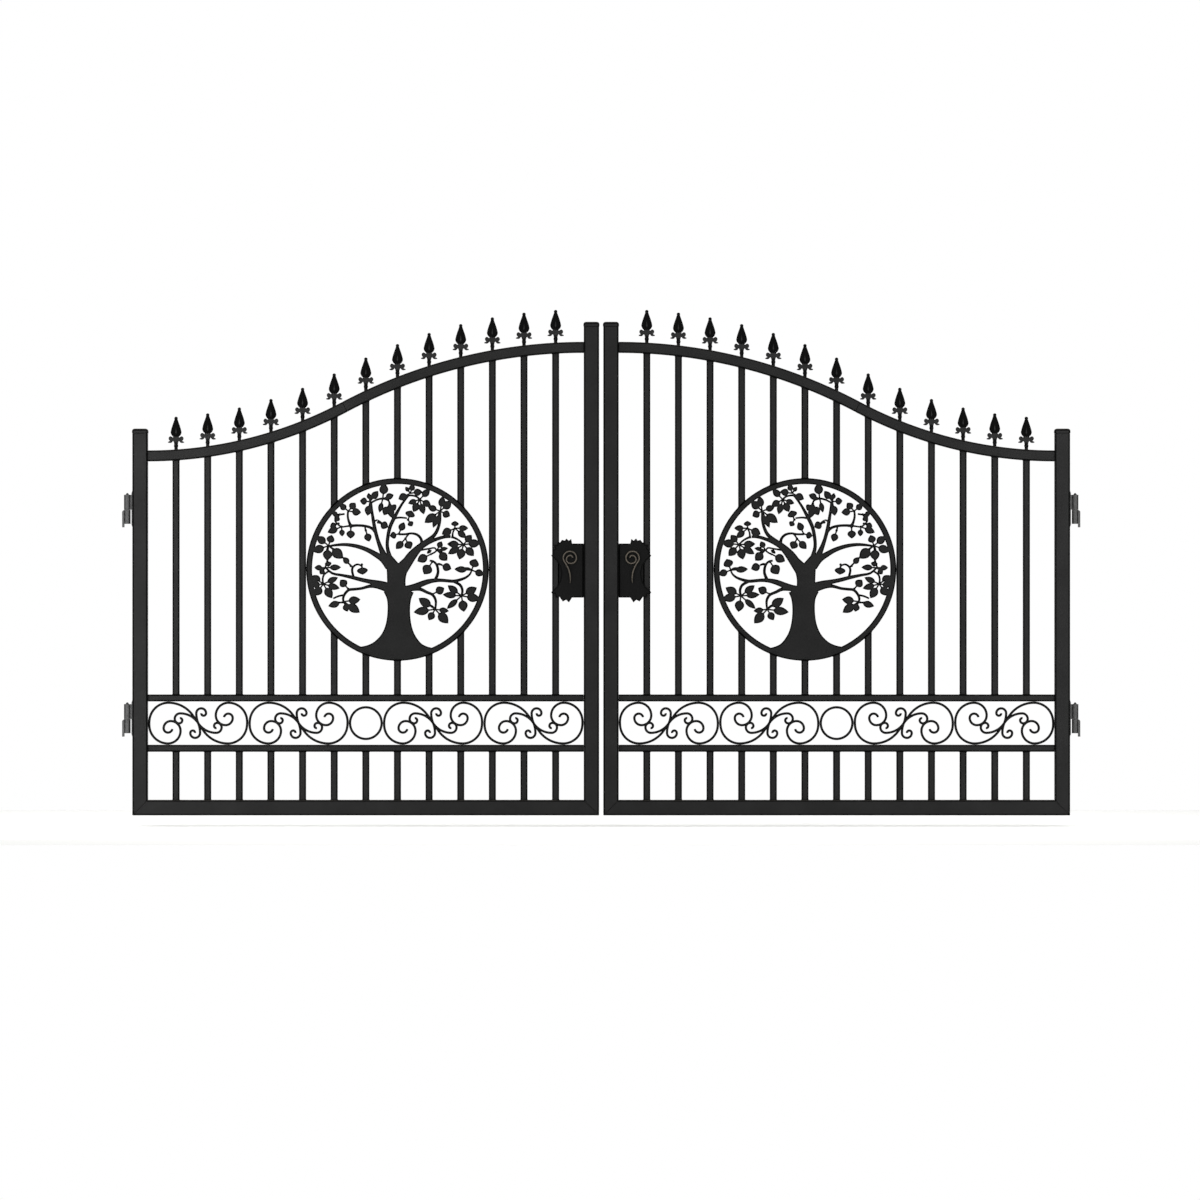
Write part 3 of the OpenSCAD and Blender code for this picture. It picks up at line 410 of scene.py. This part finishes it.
def finial(x):
    """Grids of one finial: turned stem and ball, six-sided blade, and the bevelled plate of its
    leaves."""
    foot = rail_face(np.array([x]), 1)[0]
    t = once_round(24)
    r, z = STEM.T[..., None]
    stem = np.stack([x + r * np.cos(t), r * np.sin(t), foot + z + 0 * t], -1)
    stem[0, :, 2] = rail_face(stem[0, :, 0], 1)
    v = np.linspace(*BALL_SPAN, BALL_STEPS)[:, None] * np.pi
    ball = np.stack([x + BALL_R * np.cos(v) * np.cos(t), BALL_R * np.cos(v) * np.sin(t),
                     foot + FINIAL_H - BALL_R + BALL_R * np.sin(v) + 0 * t], -1)
    z, w = smooth_line(BLADE).T[..., None]
    flat = np.maximum(w - BLADE_FLAT_Y / BLADE_SLOPE, BLADE_RIDGE)
    ridge = BLADE_SLOPE * (w - flat)
    blade = np.stack([x + np.hstack([w, flat, -flat, -w, -flat, flat]),
                      np.hstack([0 * w, -ridge, -ridge, 0 * w, ridge, ridge]),
                      foot + z + np.zeros((1, 6))], -1)
    edge = smooth_line(LEAF_EDGE)
    edge = np.vstack([edge, edge[-2:0:-1] * (-1, 1, 1)])
    along = (np.roll(edge, -1, 0) - np.roll(edge, 1, 0))[:, :2]
    inward = along[:, ::-1] * (1, -1) / np.linalg.norm(along, axis=1, keepdims=True)
    inset = edge[:, :2] + inward * edge[:, 2:]
    rings = [(inset, -LEAF_T / 2), (edge, LEAF_BEVEL - LEAF_T / 2),
             (edge, LEAF_T / 2 - LEAF_BEVEL), (inset, LEAF_T / 2)]
    leaves = np.stack([np.column_stack([x + p[:, 0], np.full(len(p), y), foot + p[:, 1]])
                       for p, y in rings])
    return [stem, ball, blade, leaves]


cast_coat = coated_steel("black_powder_coat_on_cast_iron", "#242424", "#2a2a2a", dents_mm=14,
                         dents=0.25, peel_mm=2.2, peel=0.08)
add_pair("spear_finial_castings", "spear_finials",
         [grid for x in picket_x for grid in finial(x)], cast_coat)

# Frieze scrolls: forged bar, bent cold into S-scrolls with a curl and a hook welded on midway.
# Each bar is a rounded section along a chain of arcs; the second half is the first turned about.
# Rows of arcs are a radius, as a share of the loop's, and a turn in degrees.
BAR = 11
BAR_DEPTH = 14
BAR_R = 4.5
BAR_TIPS = (0.72, 0.9, 0.9, 0.72)
FRIEZE_RING_D = 155
FRIEZE_MID = FRIEZE_Z + PICKET + FRIEZE_H / 2
CELLS = 4
CELL = (INNER_W - FRIEZE_RING_D) / CELLS
LOOP_R = (FRIEZE_H - BAR) / 2 - FIT_GAP
LOOP_ARCS = np.array([[0.94, 80], [1.45, 16], [0.915, 84], [0.62, 90], [0.48, 90], [0.35, 90],
                      [0.215, 170]])
CURL_ARCS = np.array([[1.05, 57], [0.27, 90], [0.22, 90], [0.15, 90], [0.105, 100]])
CURL_LEAVES = 123
HOOK_ARCS = np.array([[1.28, -22], [0.245, -90], [0.235, -90], [0.125, -90], [0.105, -100]])
HOOK_LEAVES = 112
ARC_STEP = 5
LEAST_STEPS = 4
lean = math.sin(math.radians(LOOP_ARCS[0, 1]))
lean_r = LOOP_R * (LOOP_ARCS[0, 0] * lean + LOOP_ARCS[1, 0] * (1 - lean))
LOOP_X = CELL / 2 - BAR / 2 - FIT_GAP - lean_r
STRAIGHT = 42
LEAD_R = (LOOP_X ** 2 + LOOP_R ** 2 - STRAIGHT ** 2) / (2 * LOOP_R)
LEAD = math.degrees(math.atan2(LEAD_R - LOOP_R, LOOP_X)
                    - math.asin(LEAD_R / math.hypot(LOOP_X, LEAD_R - LOOP_R)))


def chain(p, heading, arcs):
    """Points along tangent arcs of radius and turn, in degrees: each arc's centre lies square to
    the heading."""
    parts = [np.array([p], float)]
    for r, bend in arcs:
        side = np.sign(bend)
        h = np.radians(heading)
        centre = parts[-1][-1] + r * side * np.array([-np.sin(h), np.cos(h)])
        count = max(int(abs(bend) / ARC_STEP), LEAST_STEPS) + 1
        parts.append(arc(centre, r, heading - side * 90, heading - side * 90 + bend, count)[1:])
        heading += bend
    return np.vstack(parts)


def bar(half, middle):
    """A half path and its point reflection as one bar, a little thinner over its last points."""
    path = np.vstack([-half[:0:-1], half]) + middle
    scale = np.ones(len(path))
    scale[[0, 1, -2, -1]] = BAR_TIPS
    return sweep(path, bar_section, scale)


bar_section = tube_profile(BAR, BAR_DEPTH, BAR_R, steps=4)
lead_end = STRAIGHT * np.array([math.cos(math.radians(LEAD)), math.sin(math.radians(LEAD))])
loop = np.vstack([[[0, 0]], chain(lead_end, LEAD, [(LEAD_R, -LEAD), *LOOP_ARCS * (LOOP_R, 1)])])
curl = chain((0, 0), CURL_LEAVES, CURL_ARCS * (LOOP_R, 1))
hook = chain((0, 0), HOOK_LEAVES, HOOK_ARCS * (LOOP_R, 1))
scroll_x = [FRAME + (i + 0.5) * CELL + (FRIEZE_RING_D if i >= CELLS / 2 else 0)
            for i in range(CELLS)]
bar_coat = coated_steel("black_powder_coat_on_forged_bar", "#161616", "#1c1c1c", dents_mm=9,
                        dents=0.35)
add_pair("frieze_scroll_bars", "frieze_scrolls",
         [bar(half, (x, FRIEZE_MID)) for x in scroll_x for half in (loop, curl, hook)], bar_coat)

# Frieze ring: the same bar rolled to a circle between the two pairs of scrolls.
# It is the bar's section carried once round.
ring_path = arc(np.array([LEAF_W / 2, FRIEZE_MID]), (FRIEZE_RING_D - BAR) / 2, 0, 360 - ARC_STEP,
                360 // ARC_STEP)
add_pair("frieze_ring_bar", "frieze_ring", [sweep(ring_path, bar_section, closed=True)], bar_coat,
         loop=True)

# Tree medallion: one steel plate, cut through to a ring, a trunk, limbs and leaves.
# It is drawn on the CAD plate's outline, with both faces sloped off along the cut edges, as a
# torch leaves them.
SLOPE_RUN = 6
SLOPE_FALL = 2.8
SLOPE_LEAST = 0.15
FIT_SHARE = 0.97
SAMPLE = 6
IN_FACE = 0.01
AHEAD = 1e-3
MERGE = 1e-4
BLOCKS = 9
RING_BAND = 27
RING_RIM = 3
PLATE_SMOOTH_UNDER = math.radians(14)


def cad_triangles(node):
    """Points of a CAD node in mm, each only once, and its triangles."""
    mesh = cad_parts[node].data
    co = np.empty(3 * len(mesh.vertices))
    mesh.vertices.foreach_get("co", co)
    corners = np.empty(3 * len(mesh.polygons), int)
    mesh.polygons.foreach_get("vertices", corners)
    points, index = np.unique(np.round(co.reshape(-1, 3) / MM, 3), axis=0, return_inverse=True)
    return points, index.ravel()[corners].reshape(-1, 3)


def free_edges(triangles):
    """Edges that only one of the triangles has, in that triangle's direction."""
    edges = np.concatenate([triangles[:, [0, 1]], triangles[:, [1, 2]], triangles[:, [2, 0]]])
    _, where, count = np.unique(np.sort(edges, 1), axis=0, return_index=True, return_counts=True)
    return edges[where[count == 1]]


def face_outline(points, triangles):
    """Outline of a plate's front face: the free edges of the triangles that lie in it."""
    in_face = points[triangles][..., 1] < points[:, 1].min() + IN_FACE
    return free_edges(triangles[in_face.all(1)])


def sloped_face(flat, edges):
    """A plate's face in x and z whose rim falls away. Along the outline, a point is set inwards by
    the slope's run or by the radius of the largest circle that fits there, |q - p|^2 over
    2 n.(q - p) at its least, and its height is that over the run. Delaunay triangles join them.
    Those are kept from whose middle a level line crosses the outline an odd number of times,
    counted in blocks of edges to spare memory."""
    a, b = flat[edges[:, 0]], flat[edges[:, 1]]
    length = np.linalg.norm(b - a, axis=1)
    count = np.ceil(length / SAMPLE).astype(int)
    which = np.repeat(np.arange(len(edges)), count)
    step = np.arange(len(which)) - np.repeat(np.cumsum(count) - count, count)
    t = (step / count[which])[:, None]
    p = a[which] + (b - a)[which] * t
    along = (b - a) / length[:, None]
    before = np.zeros_like(flat)
    before[edges[:, 1]] = along
    way = along[which] + np.where(t > 0, along[which], before[edges[which, 0]])
    way_length = np.maximum(np.linalg.norm(way, axis=1, keepdims=True), SAME_POINT)
    inward = way[:, ::-1] * (-1, 1) / way_length
    gap = p[None] - p[:, None]
    ahead = np.einsum("ijk,ik->ij", gap, inward)
    radius = (gap ** 2).sum(-1) / np.maximum(2 * ahead, SAME_POINT)
    depth = np.minimum(FIT_SHARE * np.where(ahead > AHEAD, radius, np.inf).min(1), SLOPE_RUN)
    deep = depth > SLOPE_LEAST * SLOPE_RUN
    used, ends = np.unique(edges, return_inverse=True)
    spots = np.vstack([flat[used], (p + depth[:, None] * inward)[deep]])
    height = np.concatenate([np.zeros(len(used)), depth[deep] / SLOPE_RUN])
    out, _, faces, origin = delaunay_2d_cdt([Vector(spot) for spot in spots],
                                            ends.reshape(-1, 2).tolist(), [], 0, MERGE)[:4]
    out, faces = np.array([tuple(v) for v in out]), np.array(faces)
    height = np.array([height[o[0]] if o else 0 for o in origin])
    x, z = out[faces].mean(1).T
    crossed = np.zeros(len(faces), int)
    for block in np.array_split(np.arange(len(edges)), BLOCKS):
        (x0, z0), (x1, z1) = a[block].T[..., None], b[block].T[..., None]
        spans = (z0 > z) != (z1 > z)
        at = x0 + (z - z0) * (x1 - x0) / np.where(z1 == z0, 1, z1 - z0)
        crossed += (spans & (x < at)).sum(0)
    return out, height, faces[crossed % 2 == 1]


points, triangles = cad_triangles("left_tree_medallion")
edges = face_outline(points, triangles)
# Two edges of the solid's outline cross the ring along a hair slit. Exchanging their ends closes
# it.
from_middle = points[edges].mean(1)[:, [0, 2]] - (POST_FACE + ring_x, RING_Z - MOUNT_Z)
off_band = np.abs(np.linalg.norm(from_middle, axis=1) - RING_R + RING_BAND / 2)
across = off_band < RING_BAND / 2 - RING_RIM
edges[across, 1] = edges[across, 1][::-1]
flat, height, front = sloped_face(points[:, [0, 2]], edges)
half = points[:, 1].max() - SLOPE_FALL * (1 - height)
rim = free_edges(front)
back = len(flat)
plate_faces = [front, front[:, ::-1] + back, np.column_stack([rim[:, ::-1], rim + back])]
plate_coat = coated_steel("black_powder_coat_on_plate", "#1c1c1c", "#212121", dents_mm=40,
                          dents=0.12)
add_both("tree_medallion_plate", "tree_medallion",
         np.vstack([np.column_stack([flat[:, 0], y, flat[:, 1]]) for y in (-half, half)]),
         [face for group in plate_faces for face in group.tolist()], plate_coat,
         PLATE_SMOOTH_UNDER)

# Lock plates: thick plate with a ragged cut edge and a lug behind it. One weld seam joins the
# plate to the meeting stile, and another the lug to the last picket.
# It is the CAD plate with its front face sloped off along the ragged edge, and a darker coat.
LOCK_Z = 1114
LOCK_H = 240
LOCK_SEAM_Y = -19.4
LUG_H = 80
LUG_Z = LOCK_Z - 14
LUG_SEAM_Y = -5.5
LUG_SEAM_R = 1.8
SEAM_IN = 0.1
RIPPLE = 9
RIPPLE_SHARE = 0.12


def rod_section(r, count):
    """A circle of radius r."""
    t = once_round(count)
    return r * np.column_stack([np.cos(t), np.sin(t)])


def seam(x, y, middle, length, r):
    """An upright weld seam: a circle carried up a straight line, its radius swelling in even
    ripples."""
    z = np.linspace(middle - length / 2, middle + length / 2, int(length / 2))
    ripples = 1 + RIPPLE_SHARE * np.sin(z * 2 * np.pi / RIPPLE)
    return sweep(np.column_stack([np.full(len(z), x), z]), rod_section(r, 8), ripples, y)


points, triangles = cad_triangles("left_lock_plate")
face_y = points[:, 1].min()
flat, height, front = sloped_face(points[:, [0, 2]], face_outline(points, triangles))
rest = triangles[(points[triangles][..., 1] > face_y + IN_FACE).any(1)]
in_face = points[:, 1] < face_y + IN_FACE
points[in_face, 1] = face_y + SLOPE_FALL
front_points = np.column_stack([flat[:, 0], face_y + SLOPE_FALL * (1 - height), flat[:, 1]])
lock_coat = coated_steel("black_powder_coat_on_lock_plate", "#0e0e0e", "#121212", dents_mm=40,
                         dents=0.12)
add_both("lock_plate_plate", "lock_plate", np.vstack([points, front_points]),
         rest.tolist() + (front + len(points)).tolist(), lock_coat, PLATE_SMOOTH_UNDER)
stile_seam = seam(LEAF_W - FRAME - SEAM_IN, LOCK_SEAM_Y, LOCK_Z, LOCK_H, WELD_R)
lug_seam = seam(picket_x[-1] + PICKET / 2 + SEAM_IN, LUG_SEAM_Y, LUG_Z, LUG_H, LUG_SEAM_R)
add_pair("lock_plate_seams", None, [stile_seam, lug_seam], weld_coat)

# Lock plate curls: round rod, bent into a spiral with a tail and welded flat on the plate.
# It is a circle carried along a chain of arcs, rounded off at both ends.
ROD_D = 9.5
ROD_FOOT = (LEAF_W - FRAME - FIT_GAP - 62, LOCK_Z - 57)
ROD_LEAVES = 82
ROD_ARCS = ((130, 45), (30, -220), (25, -110), (18, -150), (11, -110))
ROD_ROUND = 3
ROD_TIP = 0.1
LOCK_FACE = -PICKET / 2 - FIT_GAP - 6
rod = chain(ROD_FOOT, ROD_LEAVES, ROD_ARCS)
from_end = np.minimum(np.arange(len(rod)), np.arange(len(rod))[::-1])
rod_scale = np.sqrt(np.clip(from_end / ROD_ROUND, ROD_TIP, 1))
# Painted highlight: the rod's coat has the light brownish grey of a lit stripe, and painted shade
# turns it black towards the rod's sides, so a highlight runs down its middle.
rod_coat_painted_highlight = coated_steel("black_powder_coat_on_bent_rod_painted_highlight", "#4c4741", "#5a544c", dents_mm=9,
                        dents=0.3, rough=0.36, painted_shade_turn=(0.95, 0.7))
add_pair("lock_plate_curl_rod", "lock_plate_curl",
         [sweep(rod, rod_section(ROD_D / 2, 16), rod_scale, LOCK_FACE - ROD_D / 2)], rod_coat_painted_highlight)

# Hinges: turned barrels on welded plates, one half on the stile, the other with its pin for the
# post. They are the CAD solids with their edges broken.
HINGE_BEVEL = 0.8
CAD_SAME_POINT = 1e-5
FLAT_UNDER = math.radians(0.5)
SHARP_OVER = math.radians(35)


def broken_edges(node, mat, width, body=None):
    """Copies of a CAD node on both sides, coincident points joined and sharp edges bevelled."""
    for side in ("left", "right"):
        mesh = bpy.data.meshes.new(f"{side}_{node}_finished")
        bm = bmesh.new()
        bm.from_mesh(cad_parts[f"{side}_{node}"].data)
        bmesh.ops.remove_doubles(bm, verts=bm.verts, dist=CAD_SAME_POINT)
        bmesh.ops.dissolve_limit(bm, angle_limit=FLAT_UNDER, verts=bm.verts, edges=bm.edges)
        sharp = [e for e in bm.edges if e.is_manifold and e.calc_face_angle() > SHARP_OVER]
        bmesh.ops.bevel(bm, geom=sharp, offset=width * MM, segments=2, profile=0.5,
                        affect="EDGES", clamp_overlap=True)
        bm.to_mesh(mesh)
        bm.free()
        mesh.materials.clear()
        finish_piece(mesh, side, mat, node, body)


# Painted highlight: the hinge coat has the grey of a lit barrel, and painted shade turns it black
# towards the barrels' sides, so a highlight stripe runs down each barrel.
hinge_coat_painted_highlight = coated_steel("black_powder_coat_on_hinge_painted_highlight", "#4a4a4a", "#545454", dents_mm=30,
                          dents=0.08, rough=0.34, peel=0.04, painted_shade_turn=(0.96, 0.55))
for end in ("upper", "lower"):
    broken_edges(f"{end}_hinge_gate_half", hinge_coat_painted_highlight, HINGE_BEVEL)
    broken_edges(f"{end}_hinge_post_half", hinge_coat_painted_highlight, HINGE_BEVEL, "post_hinges")

# Floor: a plain pale ground, 50 mm under the leaves.
# It is one large plane with a faint tint, lifted a little towards white where the camera sees it.
MIDDLE = GATE_W * MM / 2
FLOOR_Z = -MOUNT_Z - 50
FLOOR_SIZE = (9, 7, 1)
FLOOR_WHITE = "#f4f4f2"
FLOOR_LIFT = 0.14
bpy.ops.mesh.primitive_plane_add(size=1, location=(MIDDLE, 0, FLOOR_Z * MM))
floor = bpy.context.object
floor.name = "floor"
floor.scale = FLOOR_SIZE
pale = bpy.data.materials.new("pale_floor")
pale.use_nodes = True
pale_shader = pale.node_tree.nodes["Principled BSDF"]
for socket, value in (("Base Color", tone(FLOOR_WHITE)), ("Emission Color", tone(FLOOR_WHITE)),
                      ("Roughness", 0.9), ("Specular IOR Level", 0)):
    pale_shader.inputs[socket].default_value = value
camera_ray = add_node(pale.node_tree, "ShaderNodeLightPath").outputs["Is Camera Ray"]
lift = add_node(pale.node_tree, "ShaderNodeMapRange",
                zip(RANGE, (camera_ray, 0, 1, 0, FLOOR_LIFT)))
pale.node_tree.links.new(lift.outputs["Result"], pale_shader.inputs["Emission Strength"])
floor.data.materials.append(pale)

# Camera: a long lens, square to the gate's front face and almost without perspective.
# Its frame is 5.459 m wide at that face.
FRAME_W = 5.459
FRONT_Y = -0.035
CAMERA_X = 2.175
CAMERA_Z = 0.586
LENS = 300
SENSOR = 36
FAR = 200
camera = bpy.data.objects.new("camera", bpy.data.cameras.new("camera"))
camera.data.lens = LENS
camera.data.sensor_width = SENSOR
camera.data.clip_end = FAR
camera.location = (CAMERA_X, -FRAME_W * LENS / SENSOR + FRONT_Y, CAMERA_Z)
camera.rotation_euler = (math.radians(90), 0, 0)
bpy.context.scene.collection.objects.link(camera)
bpy.context.scene.camera = camera

# Light: two upright soft boxes before the gate's ends, one between them, one above, one behind.
# The surround is white to the camera and in reflections, and gives the rest a soft fill.
# Rows are a place and an aim, with x from the gate's middle, width, height and power in watts.
SOFT_BOXES = {
    "left_box": ((-3, -2.2, 1), (-2.2, 0, 0.9), 1.2, 4, 92),
    "right_box": ((3, -2.2, 1), (2.2, 0, 0.9), 1.2, 4, 58),
    "front_box": ((0, -9, 2.4), (0, 0, 0.9), 5, 4, 4),
    "top_box": ((0, -0.5, 6), (0, 0, -0.4), 6, 5, 320),
    "back_box": ((0, 9, 2.4), (0, 0, 0.9), 5, 4, 60),
}
FILL = 0.5
for name, (place, aim, width, height, power) in SOFT_BOXES.items():
    lamp = bpy.data.lights.new(name, "AREA")
    lamp.shape = "RECTANGLE"
    lamp.size = width
    lamp.size_y = height
    lamp.energy = power
    obj = bpy.data.objects.new(name, lamp)
    obj.location = (MIDDLE + place[0], *place[1:])
    x, y, z = np.array(aim) - np.array(place)
    obj.rotation_euler = (math.atan2(math.hypot(x, y), -z), 0, math.atan2(y, x) - math.pi / 2)
    obj.visible_camera = False
    obj.visible_glossy = False
    bpy.context.scene.collection.objects.link(obj)
world = bpy.data.worlds.new("studio")
world.use_nodes = True
rays = add_node(world.node_tree, "ShaderNodeLightPath").outputs
seen = rays["Is Camera Ray"]
for kind in ("Is Glossy Ray", "Is Transmission Ray"):
    seen = add_node(world.node_tree, "ShaderNodeMath", {0: seen, 1: rays[kind]},
                    operation="MAXIMUM").outputs["Value"]
surround = world.node_tree.nodes["Background"]
surround.inputs["Color"].default_value = (1, 1, 1, 1)
strength = add_node(world.node_tree, "ShaderNodeMapRange", zip(RANGE, (seen, 0, 1, FILL, 1)))
world.node_tree.links.new(strength.outputs["Result"], surround.inputs["Strength"])
bpy.context.scene.world = world
bpy.context.scene.view_settings.view_transform = "Standard"
